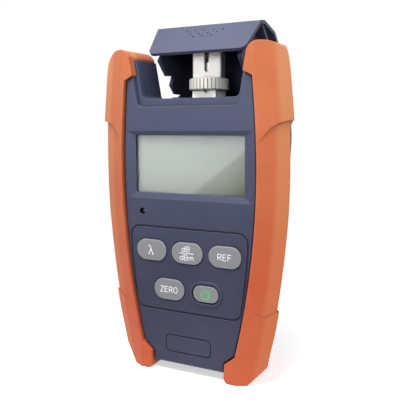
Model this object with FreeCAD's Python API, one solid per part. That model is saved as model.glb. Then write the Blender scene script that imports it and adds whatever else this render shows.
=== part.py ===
import FreeCAD, Part
import math
import os

V = FreeCAD.Vector

# Frame while building: +Z up from the ground, front faces -Y, panel face at y = 0, x = 0 the middle plane.
# At the end every piece moves along Y so that the origin is the bottom centre of the bounding box.

# Case
panel_thickness = 2.2
rim_step = 3.2
parting_depth = 20.3
back_depth = 38.4
case_wall = 2.4
case_bottom = 4.0
case_side_draft = 2.4
back_taper = 5.0
back_bend_depth = back_depth - 5.4
rear_side_draft = 2.2
plateau_gap = 0.7
panel_chamfer = 0.5
shoulder_height = 119.0
prong_top = 137.4
prong_half_width = 27.1
case_corner_rise = 4.0
rear_corner_rise = 1.2

# Half widths of the rubber outline's widest line at given heights, lower and upper stretch
waist_rows = [(0, 34.0), (14, 36.0), (36, 39.7), (50.5, 41.6), (70.5, 43.5), (90.5, 44.1), (112, 43.7), (130.5, 42.9), (142, 41.8)]
foot_rows = [(0, 34.2), (8, 35.2), (20.5, 37.9), (30, 39.7), (40, 40.9)]
head_step_rows = [(101.2, 24), (102.6, 33.2), (108.2, 37.7), (110, 41), (110.6, 50)]
foot_step_rows = [(34.5, 15), (32.8, 29.5), (30.1, 33.9), (31.2, 37), (35.5, 44)]
region_depth = 40.0
head_rows = [(98, 45.6), (110.5, 45.5), (120.5, 44.6), (130.5, 43.6), (136, 42.8), (142, 41.6)]

# Half widths of the rubber's inner edge on the front, from the bottom notch to the top notch
inner_rows = [(12.2, 22.9), (30.5, 26.8), (50.5, 29.8), (70.5, 31.6), (90.5, 32.2), (110, 31.5), (128.4, 30.1)]
inner_low = inner_rows[0][0]
inner_high = inner_rows[-1][0]

# Rubber bumper
bumper_proud = 1.3
bumper_nose_depth = 5.0
bumper_rear_depth = parting_depth - 0.5
bumper_side_lean = 0.42
case_inset = 5.6
foot_inner_x = 17.8
foot_flat_x = 27.8
foot_rear_depth = back_depth - 1.2
foot_rear_x = 23.6
foot_wrap_height = 13.0
heel_height = 8.4
heel_lean = 0.3
notch_half_width = 26.05
notch_height = 130.6
bumper_top = 141.8
foot_lift = 0.5
head_lift = 0.5

# Recess between the prongs
recess_floor = 113.0
recess_rim_height = 120.5
recess_half_width = 23.0
recess_side_slope = 0.18
recess_corner = 2.4
seat_side = 1.7
seat_bottom = 3.4
seat_depth = 2.3
recess_wall_back = 3.3
prong_strip_depth = 5.3
prong_strip_step = 0.9
well_half_width = recess_half_width - 2.1
floor_thickness = 2.0
rear_sill = 0.5

# Display
bevel_half_width = 30.05
bevel_low = 77.3
bevel_high = 106.8
bevel_depth = 1.2
glass_half_width = 26.2
glass_low = 79.9
glass_high = 104.9
window_margin = 1.5
window_thickness = 1.2
cell_gap = 0.3
cell_thickness = 1.6
cell_margin = 0.8
holder_margin = 2.2

# Status lamp
lamp_x = -22.5
lamp_z = 71.5
lamp_radius = 1.5
lamp_gap = 0.15
lamp_sink = 1.0

# Label frame on the front, a rounded line
label_z = 13.2
label_length = 22.6
label_height = 8.2
label_corner = 2.2
label_line = 0.6
label_line_depth = 0.4

# Keys
key_length = 15.2
key_height = 9.4
key_pitch = 17.9
upper_row_z = 54.5
lower_row_z = 37.6
lower_row_x = 9.0
key_gap = 0.35
key_proud = 0.6
key_edge = 0.45
key_flange = 0.8
key_flange_thickness = 0.8
key_play = 0.3
key_travel = 0.7
mat_side_margin = 1.0
mat_low_margin = 1.9
mat_high_margin = 2.3
power_length = 12.2
power_height = 7.2
power_ring_length = 15.6
power_ring_height = 10.8
power_ring_proud = 0.5
power_ring_edge = 0.3
power_gap = 0.55
frame_groove_width = 0.9
frame_groove_depth = 0.5

# Circuit board and keypad mat
board_front = 7.4
board_thickness = 1.6
board_rows = [(12, 22), (34, 29), (62, 31.5), (90, 31.8), (108, 31)]
mat_thickness = 1.0
mat_gap = 0.15

# Test port
port_depth = 21.5
port_base_width = 11.3
port_base_depth = 10.6
port_base_top = 124.2
port_notch_radius = 1.3
neck_radius = 4.0
neck_low = 105.0
neck_overlap = 2.0
neck_clearance = 0.6
light_bore = 1.6
skirt_radius = 5.0
nut_radius = 8.9
nut_low = 124.4
nut_high = 129.5
nut_fit = 0.08
nut_flutes = 32
flute_radius = 0.42
adapter_width = 12.8
adapter_depth = 9.0
adapter_turn = 12.0
adapter_corner = 0.8
adapter_floor = 2.4
adapter_low = 129.7
adapter_high = 140.6
socket_width = 9.1
socket_depth = 7.5
key_slot_width = 2.0
key_slot_length = 8.4
ferrule_radius = 1.26
sleeve_radius = 1.9
sleeve_top = 136.4
detector_radius = 2.35
detector_flange = 2.7
detector_low = 105.3
detector_leg = 0.25
detector_leg_spread = 1.1

# Dust cover
hinge_y = 31.0
hinge_z = 120.0

# Side view of the shut cover's arch: y, z, and the share of the wall's thickness that the inside loses in y and z
cover_arch = [
    (2.4, 138.3, 0.75, -0.65), (5.6, 141.4, 0.68, -0.73), (10.3, 144.1, 0.3, -0.95), (16.0, 145.0, 0.0, -1.0),
    (23.4, 144.3, -0.05, -1.0), (30.9, 140.7, -0.5, -0.85), (35.4, 133.8, -0.9, -0.4), (36.9, 126.0, -1.0, 0.0), (37.1, 118.0, -1.0, 0.0),
]
open_angle = 45.0
cover_low = 117.7
cover_wall = 1.5
cover_bend = 135.2
cover_crown = 1.2
crown_lean = 30.0
panel_low_half = recess_half_width + 0.1
panel_high_half = panel_low_half + 2.1
snap_height = 123.0
snap_radius = 0.7
snap_proud = 0.15
hood_half_width = panel_high_half + 0.1
hood_skirt_height = 128.0
cheek_play = 0.7
cheek_outer = well_half_width - cheek_play
cheek_thickness = 1.6
hub_radius = 3.2
panel_corner = 3.2
grip_dot_radius = 0.42
grip_dot_depth = 0.3
grip_dot_pitch = 4.4
grip_row_pitch = 1.9
grip_top_row = 131.4
hinge_pin_radius = 1.0
hinge_pin_length = 5.7
hinge_pin_end = well_half_width + 2.7
hinge_ear_radius = 2.3
hinge_ear_width = 3.2
hinge_fit = 0.05
ledge_height = 136.3
ledge_outer = hood_half_width - 0.8

# Battery compartment
door_half_width = 17.5
door_low = 24.0
door_high = 83.0
door_thickness = 2.0
door_corner = 2.0
door_ridges = 5
door_ridge_pitch = 2.2
door_ridge_half_length = 7.0
door_ridge_proud = 0.5
door_gap = 0.3
bay_wall = 1.6
bay_floor = 0.8
cell_radius = 7.1
cell_play = 0.55
bay_front = back_depth - door_thickness - 2 * (cell_radius + cell_play)
cell_length = 49.2
cell_spacing = 15.2
nub_radius = 2.7
nub_length = 1.2
bay_end_wall = 1.6
contact_thickness = 0.5
contact_width = 10.0
leaf_thickness = 0.5
leaf_reach = 4.2
leaf_tip = 1.2
leaf_width = 5.0

# Screws
case_screw_head = 2.7
case_screw_shank = 1.4
case_screw_sink = 5.0
case_boss_wall = 2.0
screw_clearance = 0.25
case_screw_places = [(-14.0, 13.0), (14.0, 13.0), (-27.5, 111.2), (27.5, 111.2)]
board_screw_head = 1.9
board_screw_shank = 0.95
board_boss_wall = 1.45
board_screw_places = [(-29.0, 70.0), (29.0, 70.0), (-18.0, 18.0), (18.0, 18.0)]


def box(x0, x1, y0, y1, z0, z1):
    return Part.makeBox(x1 - x0, y1 - y0, z1 - z0, V(x0, y0, z0))


def rod(x, z, radius, y0, y1):
    return Part.makeCylinder(radius, y1 - y0, V(x, y0, z), V(0, 1, 0))


def post(x, y, radius, z0, z1):
    return Part.makeCylinder(radius, z1 - z0, V(x, y, z0), V(0, 0, 1))


def fuse(shapes):
    result = shapes[0].multiFuse(shapes[1:]) if len(shapes) > 1 else shapes[0]
    return result.removeSplitter()


def mirrored(shape):
    return shape.mirror(V(0, 0, 0), V(1, 0, 0))


def row_value(rows, height):
    """Smooth half width at a height, read from a curve through the rows."""
    points = [V(w, 0, z) for z, w in rows]
    curve = Part.BSplineCurve()
    curve.interpolate(points)
    low, high = curve.FirstParameter, curve.LastParameter
    for step in range(40):
        middle = (low + high) / 2
        if curve.value(middle).z < height:
            low = middle
        else:
            high = middle
    return curve.value(low).x


def extruded(wire, y0, y1):
    """Solid from a closed wire drawn at y = 0 in the XZ plane."""
    face = Part.Face(wire)
    face.translate(V(0, y0, 0))
    return face.extrude(V(0, y1 - y0, 0))


def polygon(points, y0, y1):
    corners = [V(x, 0, z) for x, z in points]
    return extruded(Part.makePolygon(corners + [corners[0]]), y0, y1)


def side_polygon(points, x0, x1):
    """Solid from a closed outline of (y, z) points, extruded across X."""
    corners = [V(x0, y, z) for y, z in points]
    face = Part.Face(Part.makePolygon(corners + [corners[0]]))
    return face.extrude(V(x1 - x0, 0, 0))


def smooth_edge(points):
    curve = Part.BSplineCurve()
    curve.interpolate(points)
    return curve.toShape()


def mirrored_outline(points_right, y):
    """Closed wire from a right hand curve given bottom to top, its mirror and two straight ends."""
    right = [V(x, y, z) for x, z in points_right]
    left = [V(-x, y, z) for x, z in reversed(points_right)]
    edges = [smooth_edge(right), Part.makeLine(right[-1], left[0]), smooth_edge(left), Part.makeLine(left[-1], right[0])]
    return Part.Wire(edges)


def rounded_rect(x, z, length, height, radius, y0, y1):
    """Rectangle with round corners in the XZ plane, centred on x, z."""
    a = length / 2
    b = height / 2
    shape = box(x - a, x + a, y0, y1, z - b, z + b)
    corners = [edge for edge in shape.Edges if abs(edge.tangentAt(edge.FirstParameter).y) > 0.99]
    return shape.makeFillet(min(radius, a - 0.01, b - 0.01), corners)


def stadium(x, z, length, height, y0, y1):
    """Slot shaped block with half round ends, centred on x, z."""
    r = height / 2
    reach = length / 2 - r
    middle = box(x - reach, x + reach, y0, y1, z - r, z + r)
    return fuse([middle, rod(x - reach, z, r, y0, y1), rod(x + reach, z, r, y0, y1)])


def case_half(height):
    return row_value(waist_rows, height) - case_inset


def case_outline(y, inset, low, high):
    rows = [(case_half(z) - inset, z) for z in (30.0, 60.0, 90.0, high - 6.0)]
    corner = case_half(14.0) - inset
    bottom = [(corner - 2 * case_corner_rise, low), (corner - 1.5, low + case_corner_rise)]
    top = [(rows[-1][0] - 3.0, high)]
    return mirrored_outline(bottom + rows + top, y)


def case_body(y0, y1, inset0, inset1, low, high):
    wires = [case_outline(y0, inset0, low, high), case_outline(y1, inset1, low, high)]
    return Part.makeLoft(wires, True, True)


def front_envelope():
    return case_body(rim_step, parting_depth, 0.0, case_side_draft, case_bottom, prong_top)


def rear_envelope():
    bend_inset = case_side_draft + rear_side_draft
    upright = case_body(parting_depth, back_bend_depth, case_side_draft, bend_inset, case_bottom, shoulder_height)
    wires = [
        case_outline(back_bend_depth, bend_inset, case_bottom, shoulder_height),
        case_outline(back_depth, case_side_draft + back_taper, case_bottom + rear_corner_rise, shoulder_height - case_corner_rise),
    ]
    return fuse([upright, Part.makeLoft(wires, True, True)])


def inner_edge(extra):
    """Right hand points of the panel between the two rubber edges, moved inward by extra."""
    return [V(width - extra, 0, z) for z, width in inner_rows]


def plateau_wire(gap):
    """Outline of the raised front panel, one closed wire in the XZ plane."""
    curve = inner_edge(gap)
    low = V(foot_inner_x + heel_lean - gap, 0, heel_height)
    floor = V(foot_inner_x - gap, 0, case_bottom)
    top_in = V(notch_half_width - gap, 0, notch_height)
    top = V(prong_half_width - gap, 0, prong_top)
    right = [Part.makeLine(floor, low), Part.makeLine(low, curve[0]), smooth_edge(curve)]
    right += [Part.makeLine(curve[-1], top_in), Part.makeLine(top_in, top)]
    left = [edge.mirror(V(0, 0, 0), V(1, 0, 0)) for edge in right]
    top_line = Part.makeLine(top, V(-top.x, 0, top.z))
    floor_line = Part.makeLine(V(-floor.x, 0, floor.z), floor)
    return Part.Wire(Part.__sortEdges__(right + [top_line] + left + [floor_line]))


def recess_side(height):
    return recess_half_width + recess_side_slope * (height - recess_rim_height)


def recess_cut(grow_side, low, y0, y1, corner):
    """Upward flaring U opening, cut through from y0 to y1."""
    top = prong_top + 8.0
    a = recess_side(low) + grow_side
    b = recess_side(top) + grow_side
    shape = polygon([(-a, low), (a, low), (b, top), (-b, top)], y0, y1)
    edges = []
    for edge in shape.Edges:
        middle = edge.valueAt((edge.FirstParameter + edge.LastParameter) / 2)
        along_y = abs(edge.tangentAt(edge.FirstParameter).y) > 0.99
        if along_y and abs(middle.z - low) < 0.1:
            edges.append(edge)
    return shape.makeFillet(corner, edges)


def keypad_frame(inset):
    """Block in the shape of the keypad area, its sides following the panel."""
    points = [(26.2, 33.5), (27.4, 42.5), (28.3, 51.5), (28.8, 60.5)]
    shift = [V(x - inset, 0, z) for x, z in points]
    low = 27.6 + inset
    high = 65.5 - inset
    corner_low = V(20.6, 0, low)
    corner_high = V(23.6, 0, high)
    right = [Part.makeLine(V(0, 0, low), corner_low)]
    bend_low = V(24.7 - inset * 0.7, 0, 29.2 + inset * 0.7)
    bend_high = V(27.3 - inset * 0.7, 0, 64.1 - inset * 0.7)
    right.append(Part.Arc(corner_low, bend_low, shift[0]).toShape())
    right.append(smooth_edge(shift))
    right.append(Part.Arc(shift[-1], bend_high, corner_high).toShape())
    right.append(Part.makeLine(corner_high, V(0, 0, high)))
    left = [edge.mirror(V(0, 0, 0), V(1, 0, 0)) for edge in right]
    return Part.Wire(Part.__sortEdges__(right + left))


def key_places():
    """Name, x, z, length and height of each key."""
    rows = [("key_wavelength", -key_pitch, upper_row_z, key_length, key_height)]
    rows.append(("key_units", 0.0, upper_row_z, key_length, key_height))
    rows.append(("key_reference", key_pitch, upper_row_z, key_length, key_height))
    rows.append(("key_zero", -lower_row_x, lower_row_z, key_length, key_height))
    rows.append(("key_power", lower_row_x, lower_row_z, power_length, power_height))
    return rows


def display_bevel():
    """Four sided sloping recess from the panel face down to the window opening."""
    outer = rounded_rect(0, (bevel_low + bevel_high) / 2, 2 * bevel_half_width, bevel_high - bevel_low, 0.8, 0, 1)
    inner = rounded_rect(0, (glass_low + glass_high) / 2, 2 * glass_half_width, glass_high - glass_low, 0.5, 0, 1)
    outer_wire = face_wire(outer, 0.0)
    inner_wire = face_wire(inner, 0.0)
    outer_wire.translate(V(0, -0.01, 0))
    inner_wire.translate(V(0, bevel_depth, 0))
    slope = Part.makeLoft([outer_wire, inner_wire], True, True)
    hole = rounded_rect(0, (glass_low + glass_high) / 2, 2 * glass_half_width, glass_high - glass_low, 0.5, 0, panel_thickness + 2)
    return slope.fuse(hole)


def face_wire(shape, y):
    for face in shape.Faces:
        if abs(face.CenterOfMass.y - y) < 1e-6 and face.BoundBox.YLength < 1e-6:
            return face.OuterWire.copy()


def well(y0, y1):
    """Lower part of the recess behind its front wall, down to the floor."""
    return box(-well_half_width, well_half_width, y0, y1, recess_floor, shoulder_height + 30)


def screw_bosses(places, radius, hole, y0, y1):
    solids = [rod(x, z, radius, y0, y1) for x, z in places]
    holes = [rod(x, z, hole, y0 + 1.0, y1 + 1.0) for x, z in places]
    return solids, holes


def front_case():
    shell = front_envelope()
    plateau = extruded(plateau_wire(plateau_gap), 0.0, rim_step + 1.0)
    front_edges = [edge for edge in plateau.Edges if edge.BoundBox.YMax < 1e-6]
    plateau = plateau.makeChamfer(panel_chamfer, front_edges)
    shell = shell.fuse(plateau)
    cavity = case_body(panel_thickness, parting_depth + 1, case_wall, case_side_draft + case_wall,
                       case_bottom + case_wall, recess_floor - floor_thickness)
    shell = shell.cut(cavity.common(box(-60, 60, rim_step + case_wall, 60, 0, 200)))
    pocket = extruded(plateau_wire(plateau_gap + case_wall), panel_thickness, rim_step + case_wall + 1)
    pocket = pocket.common(box(-60, 60, -1, 60, case_bottom + case_wall, recess_floor - floor_thickness))
    shell = shell.cut(pocket)
    shell = shell.cut(recess_cut(0.0, recess_rim_height, -1, parting_depth + 1, recess_corner))
    shell = shell.cut(recess_cut(seat_side, recess_rim_height - seat_bottom, -1, seat_depth, recess_corner))
    inner_side = recess_cut(prong_strip_step, recess_rim_height, prong_strip_depth, parting_depth + 1, recess_corner)
    shell = shell.cut(inner_side)
    shell = shell.cut(well(recess_wall_back, parting_depth + 1))
    shell = shell.cut(display_bevel())
    shell = shell.cut(rod(lamp_x, lamp_z, lamp_radius, -1, panel_thickness + 1))
    outer = extruded(keypad_frame(0.0), -1, frame_groove_depth)
    inner = extruded(keypad_frame(frame_groove_width), -1, frame_groove_depth)
    shell = shell.cut(outer.cut(inner))
    ring = stadium(lower_row_x, lower_row_z, power_ring_length, power_ring_height, -power_ring_proud, panel_thickness)
    ring_edges = [edge for edge in ring.Edges if edge.BoundBox.YMax < -power_ring_proud + 1e-6]
    shell = shell.fuse(ring.makeChamfer(power_ring_edge, ring_edges))
    for name, x, z, length, height in key_places():
        gap = power_gap if name == "key_power" else key_gap
        shell = shell.cut(stadium(x, z, length + 2 * gap, height + 2 * gap, -2, panel_thickness + 1))
    shell = shell.cut(label_groove())
    shell = shell.cut(neck_hole())
    root = panel_thickness - 0.2
    solids, holes = screw_bosses(case_screw_places, case_screw_shank + case_boss_wall, case_screw_shank, root, parting_depth)
    board_radius = board_screw_shank + board_boss_wall
    board_solids, board_holes = screw_bosses(board_screw_places, board_radius, board_screw_shank, root, board_front)
    shell = fuse([shell] + solids + board_solids)
    for hole in holes + board_holes:
        shell = shell.cut(hole.common(box(-60, 60, rim_step, 60, 0, 200)))
    return shell.removeSplitter()


def label_groove():
    """Thin rounded line that frames a bare place below the keys."""
    inner_length = label_length - 2 * label_line
    inner_height = label_height - 2 * label_line
    outer = rounded_rect(0, label_z, label_length, label_height, label_corner, -1, label_line_depth)
    inner = rounded_rect(0, label_z, inner_length, inner_height, label_corner - label_line, -1, label_line_depth)
    return outer.cut(inner)


def neck_hole():
    return post(0, port_depth, neck_radius + neck_clearance, recess_floor - 2 * floor_thickness, recess_floor + 1)


def bay_low():
    return door_low + bay_end_wall


def bay_high():
    return door_high - bay_end_wall


def rear_case():
    shell = rear_envelope()
    inside = case_body(parting_depth - 1, back_bend_depth - case_wall, case_side_draft + case_wall,
                       case_side_draft + rear_side_draft + case_wall, case_bottom + case_wall, recess_floor - floor_thickness)
    deep = box(-20, 20, parting_depth - 1, back_depth - case_wall, case_bottom + 3 * case_wall, recess_floor - floor_thickness)
    shell = shell.cut(inside.fuse(deep))
    bay_box = box(-door_half_width, door_half_width, bay_front - bay_floor, back_depth - 1.0,
                  bay_low() - bay_wall, bay_high() + bay_wall)
    shell = shell.fuse(bay_box)
    bay_half = door_half_width - bay_wall
    bay = box(-bay_half, bay_half, bay_front, back_depth + 1, bay_low(), bay_high())
    shell = shell.cut(bay)
    door_seat = rounded_rect(0, (door_low + door_high) / 2, 2 * (door_half_width + door_gap),
                             door_high - door_low + 2 * door_gap, door_corner + door_gap,
                             back_depth - door_thickness - door_gap, back_depth + 1)
    shell = shell.cut(door_seat)
    floor_half = well_half_width + 5.1
    floor = box(-floor_half, floor_half, parting_depth, back_depth - 3, recess_floor - floor_thickness, recess_floor)
    shell = shell.fuse(floor.common(rear_envelope()))
    shell = shell.cut(well(parting_depth - 1, back_depth - 1.6))
    back_opening = box(-well_half_width, well_half_width, back_depth - 4, back_depth + 1, recess_floor + rear_sill, 200)
    shell = shell.cut(back_opening)
    ears = []
    for side in (-1, 1):
        x0 = min(side * well_half_width, side * (well_half_width + hinge_ear_width))
        x1 = x0 + hinge_ear_width
        ear = Part.makeCylinder(hinge_ear_radius, hinge_ear_width, V(x0, hinge_y, hinge_z), V(1, 0, 0))
        stem = box(x0, x1, hinge_y - hinge_ear_radius, hinge_y + hinge_ear_radius, recess_floor, hinge_z)
        ears.append(ear.fuse(stem))
    shell = fuse([shell] + ears)
    shell = shell.cut(Part.makeCylinder(hinge_pin_radius, 2 * hinge_pin_end, V(-hinge_pin_end, hinge_y, hinge_z), V(1, 0, 0)))
    shell = shell.cut(neck_hole())
    hole = case_screw_shank + screw_clearance
    solids, holes = screw_bosses(case_screw_places, hole + case_boss_wall, hole, parting_depth, back_depth - 0.6)
    shell = fuse([shell] + [boss.common(rear_envelope()) for boss in solids])
    for x, z in case_screw_places:
        shell = shell.cut(rod(x, z, hole, parting_depth - 1, back_depth + 1))
        shell = shell.cut(rod(x, z, case_screw_head + screw_clearance, back_depth - case_screw_sink, back_depth + 2))
    return shell.removeSplitter()


def bumper_section(height, width, crease, crease_depth, inner):
    """Closed wire across one bumper at a height, from the inner edge round the nose to the rear."""
    rear = width - bumper_side_lean * (bumper_rear_depth - bumper_nose_depth)
    half = width - bumper_side_lean * 7.0
    points = [
        V(inner - 12, bumper_rear_depth, height),
        V(inner - 12, -bumper_proud, height),
        V(inner + 0.8, -bumper_proud, height),
        V(crease, crease_depth, height),
        V(width, bumper_nose_depth, height),
        V(half, bumper_nose_depth + 7.0, height),
        V(rear, bumper_rear_depth, height),
    ]
    return Part.makePolygon(points + [points[0]])


def bumper_loft(rows, low, high, sections, front_lift):
    """Skin of one stretch, lofted through even sections from low to high."""
    wires = []
    for index in range(sections):
        z = low + (high - low) * index / (sections - 1)
        width = row_value(rows, z)
        inner = row_value(inner_rows, min(max(z, inner_low), inner_high))
        crease = inner + 0.57 * (width - inner)
        wires.append(bumper_section(z, width, crease, 2.3 - front_lift, inner))
    return Part.makeLoft(wires, True, False)


def bumper_outline():
    """Front view of the right bumper: foot, widest side, rounded head, notches and inner edge."""
    curve = inner_edge(0.0)
    foot = V(20.4, 0, 0)
    flat = V(foot_flat_x, 0, 0)
    side = V(35.6, 0, heel_height)
    wide = V(50, 0, 14)
    high = V(50, 0, 128)
    head = [V(43.75, 0, 130.5), V(42.9, 0, 135.5), V(41.0, 0, 138.8), V(37.8, 0, 141.0), V(33.4, 0, bumper_top)]
    crown = [head[-1], V(29.8, 0, 141.1), V(27.6, 0, 138.6)]
    shoulder = V(notch_half_width, 0, notch_height)
    step = V(foot_inner_x + heel_lean, 0, heel_height)
    heel = V(foot_inner_x, 0, 2.6)
    edges = [
        Part.makeLine(foot, flat),
        Part.makeLine(flat, side),
        Part.makeLine(side, wide),
        Part.makeLine(wide, high),
        Part.makeLine(high, head[0]),
        smooth_edge(head),
        smooth_edge(crown),
        Part.makeLine(crown[-1], shoulder),
        Part.makeLine(shoulder, curve[-1]),
        smooth_edge(curve),
        Part.makeLine(curve[0], step),
        Part.makeLine(step, heel),
        Part.Arc(heel, V(foot_inner_x + 0.75, 0, 0.75), foot).toShape(),
    ]
    return Part.Wire(Part.__sortEdges__(edges))


def step_region(rows, end):
    """Front view area between a stretch's step curve and a level line beyond its end."""
    points = [V(x, 0, z) for z, x in rows]
    outer = V(points[-1].x, 0, end)
    inner = V(points[0].x, 0, end)
    lines = [Part.makeLine(points[-1], outer), Part.makeLine(outer, inner), Part.makeLine(inner, points[0])]
    return extruded(Part.Wire([smooth_edge(points)] + lines), -10, region_depth)


def head_region():
    """Front view area of the thicker upper stretch, its lower edge sweeping down toward the panel."""
    return step_region(head_step_rows, bumper_top + 8)


def foot_region():
    """Front view area of the thicker lower stretch, its upper edge dipping at the crease."""
    return step_region(foot_step_rows, -5)


def right_bumper():
    waist = bumper_loft(waist_rows, -1, waist_rows[-1][0] + 1, 9, 0.0)
    foot = bumper_loft(foot_rows, -1, foot_rows[-1][0], 5, foot_lift).common(foot_region())
    head = bumper_loft(head_rows, head_rows[0][0] + 1, head_rows[-1][0] + 1, 7, head_lift).common(head_region())
    skin = waist.fuse(foot).fuse(head)
    body = skin.common(extruded(bumper_outline(), -10, region_depth))
    wrap = extruded(bumper_outline(), bumper_rear_depth - 1, foot_rear_depth)
    wrap = wrap.common(foot_plan())
    body = body.fuse(wrap)
    body = body.cut(front_envelope().fuse(rear_envelope()))
    body = body.cut(extruded(plateau_wire(0.0), -10, rim_step + 0.5))
    prong_hole = recess_cut(prong_strip_step, recess_rim_height, prong_strip_depth, region_depth, recess_corner)
    body = body.cut(prong_hole)
    return largest_solid(body).removeSplitter()


def foot_plan():
    """Top view limit of the foot block under the case, narrower toward the rear."""
    wide = foot_flat_x + 0.4
    corners = [(0, 0), (wide, 0), (wide, bumper_rear_depth), (foot_rear_x, foot_rear_depth), (0, foot_rear_depth)]
    points = [V(x, y, 0) for x, y in corners]
    return Part.Face(Part.makePolygon(points + [points[0]])).extrude(V(0, 0, foot_wrap_height))


def largest_solid(shape):
    return max(shape.Solids, key=lambda solid: solid.Volume)


def display_window():
    return rounded_rect(0, (glass_low + glass_high) / 2, 2 * (glass_half_width + window_margin),
                        glass_high - glass_low + 2 * window_margin, 1.0, panel_thickness, panel_thickness + window_thickness)


def display_cell_front():
    return panel_thickness + window_thickness + cell_gap


def display_cell():
    y = display_cell_front()
    half = glass_half_width + cell_margin
    return box(-half, half, y, y + cell_thickness, glass_low - cell_margin, glass_high + cell_margin)


def display_holder():
    y = display_cell_front()
    half = glass_half_width + holder_margin
    outer = box(-half, half, y + 0.4, board_front, glass_low - holder_margin, glass_high + holder_margin)
    return outer.cut(display_cell())


def status_lamp():
    radius = lamp_radius - lamp_gap
    dome = Part.makeSphere(radius, V(lamp_x, lamp_sink + radius, lamp_z))
    shank = rod(lamp_x, lamp_z, radius, lamp_sink + radius, board_front)
    flange = rod(lamp_x, lamp_z, lamp_radius + 0.4, panel_thickness + 1.8, board_front)
    return fuse([dome, shank, flange])


def key_cap(x, z, length, height):
    cap = stadium(x, z, length, height, -key_proud, panel_thickness + key_play)
    cap = cap.makeFillet(key_edge, [edge for edge in cap.Edges if edge.BoundBox.YMax < -key_proud + 1e-6])
    flange = stadium(x, z, length + 2 * key_flange, height + 2 * key_flange,
                     panel_thickness + key_play, panel_thickness + key_play + key_flange_thickness)
    return fuse([cap, flange])


def keypad_mat():
    half = key_pitch + key_length / 2 + mat_side_margin
    low = lower_row_z - key_height / 2 - mat_low_margin
    high = upper_row_z + key_height / 2 + mat_high_margin
    sheet = box(-half, half, board_front - mat_thickness, board_front, low, high)
    top = panel_thickness + key_play + key_flange_thickness + key_travel + mat_gap
    domes = []
    for name, x, z, length, height in key_places():
        rise = board_front - mat_thickness - top
        domes.append(Part.makeCone(1.6, 2.6, rise + 0.01, V(x, top, z), V(0, 1, 0)))
    return fuse([sheet] + domes)


def main_board():
    outline = [(half, z) for z, half in board_rows] + [(-half, z) for z, half in reversed(board_rows)]
    board = polygon(outline, board_front, board_front + board_thickness)
    for x, z in case_screw_places:
        board = board.cut(rod(x, z, 4.0, board_front - 1, board_front + 3))
    for x, z in board_screw_places:
        board = board.cut(rod(x, z, board_screw_shank + 0.15, board_front - 1, board_front + 3))
    back = board_front + board_thickness
    chips = [box(-9, 3, back, back + 1.4, 80, 92), box(10, 18, back, back + 1.2, 66, 72), box(-20, -14, back, back + 1.6, 50, 56)]
    return fuse([board] + chips)


def port_base():
    half_w = port_base_width / 2
    half_d = port_base_depth / 2
    block = box(-half_w, half_w, port_depth - half_d, port_depth + half_d, recess_floor, port_base_top)
    neck = post(0, port_depth, neck_radius, neck_low, adapter_low + neck_overlap)
    bore = post(0, port_depth, light_bore, neck_low - 1, adapter_low + neck_overlap + 1)
    detector_seat = post(0, port_depth, detector_flange + 0.05, neck_low - 1, detector_low + 4.0)
    bore = bore.fuse(detector_seat)
    notch = Part.makeCylinder(port_notch_radius, 1.6, V(1.2, port_depth - half_d - 0.1, port_base_top), V(0, 1, 0))
    return fuse([block, neck]).cut(bore).cut(notch)


def port_nut():
    ring = post(0, port_depth, nut_radius, nut_low, nut_high)
    ring = ring.makeChamfer(0.5, [edge for edge in ring.Edges if edge.Length > 30])
    ring = ring.cut(post(0, port_depth, skirt_radius + nut_fit, nut_low - 1, nut_high + 1))
    flutes = []
    for index in range(nut_flutes):
        angle = 2 * math.pi * index / nut_flutes
        x = nut_radius * math.cos(angle)
        y = port_depth + nut_radius * math.sin(angle)
        flutes.append(flute(x, y, angle))
    return ring.cut(Part.makeCompound(flutes))


def flute(x, y, angle):
    """V groove across the nut's rim at one angle."""
    out = V(math.cos(angle), math.sin(angle), 0)
    side = V(-math.sin(angle), math.cos(angle), 0)
    centre = V(x, y, nut_low - 0.5)
    points = [centre - out * flute_radius, centre + out * 0.2 + side * flute_radius, centre + out * 0.2 - side * flute_radius]
    face = Part.Face(Part.makePolygon(points + [points[0]]))
    return face.extrude(V(0, 0, nut_high - nut_low + 1))


def port_adapter():
    half_w = adapter_width / 2
    half_d = adapter_depth / 2
    body = box(-half_w, half_w, port_depth - half_d, port_depth + half_d, adapter_low, adapter_high)
    body = body.makeFillet(adapter_corner, [edge for edge in body.Edges if abs(edge.tangentAt(edge.FirstParameter).z) > 0.99])
    skirt = post(0, port_depth, skirt_radius, port_base_top + 0.2, adapter_low + 0.5)
    body = fuse([body, skirt])
    socket = box(-socket_width / 2, socket_width / 2, port_depth - socket_depth / 2, port_depth + socket_depth / 2,
                 adapter_low + adapter_floor, adapter_high + 1)
    front = port_depth - half_d - 1
    slot_low = adapter_high - key_slot_length + key_slot_width / 2
    slot = box(-key_slot_width / 2, key_slot_width / 2, front, port_depth, slot_low, adapter_high + 1)
    slot_end = Part.makeCylinder(key_slot_width / 2, half_d + 1, V(0, front, slot_low), V(0, 1, 0))
    body = body.cut(socket).cut(slot).cut(slot_end)
    body = body.cut(post(0, port_depth, neck_radius, port_base_top, adapter_low + neck_overlap))
    body = body.cut(post(0, port_depth, light_bore, adapter_low, adapter_low + 3))
    body.rotate(V(0, port_depth, 0), V(0, 0, 1), adapter_turn)
    return body


def ferrule_sleeve():
    tube = post(0, port_depth, sleeve_radius, adapter_low + adapter_floor, sleeve_top)
    return tube.cut(post(0, port_depth, ferrule_radius, adapter_low, sleeve_top + 1))


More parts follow.
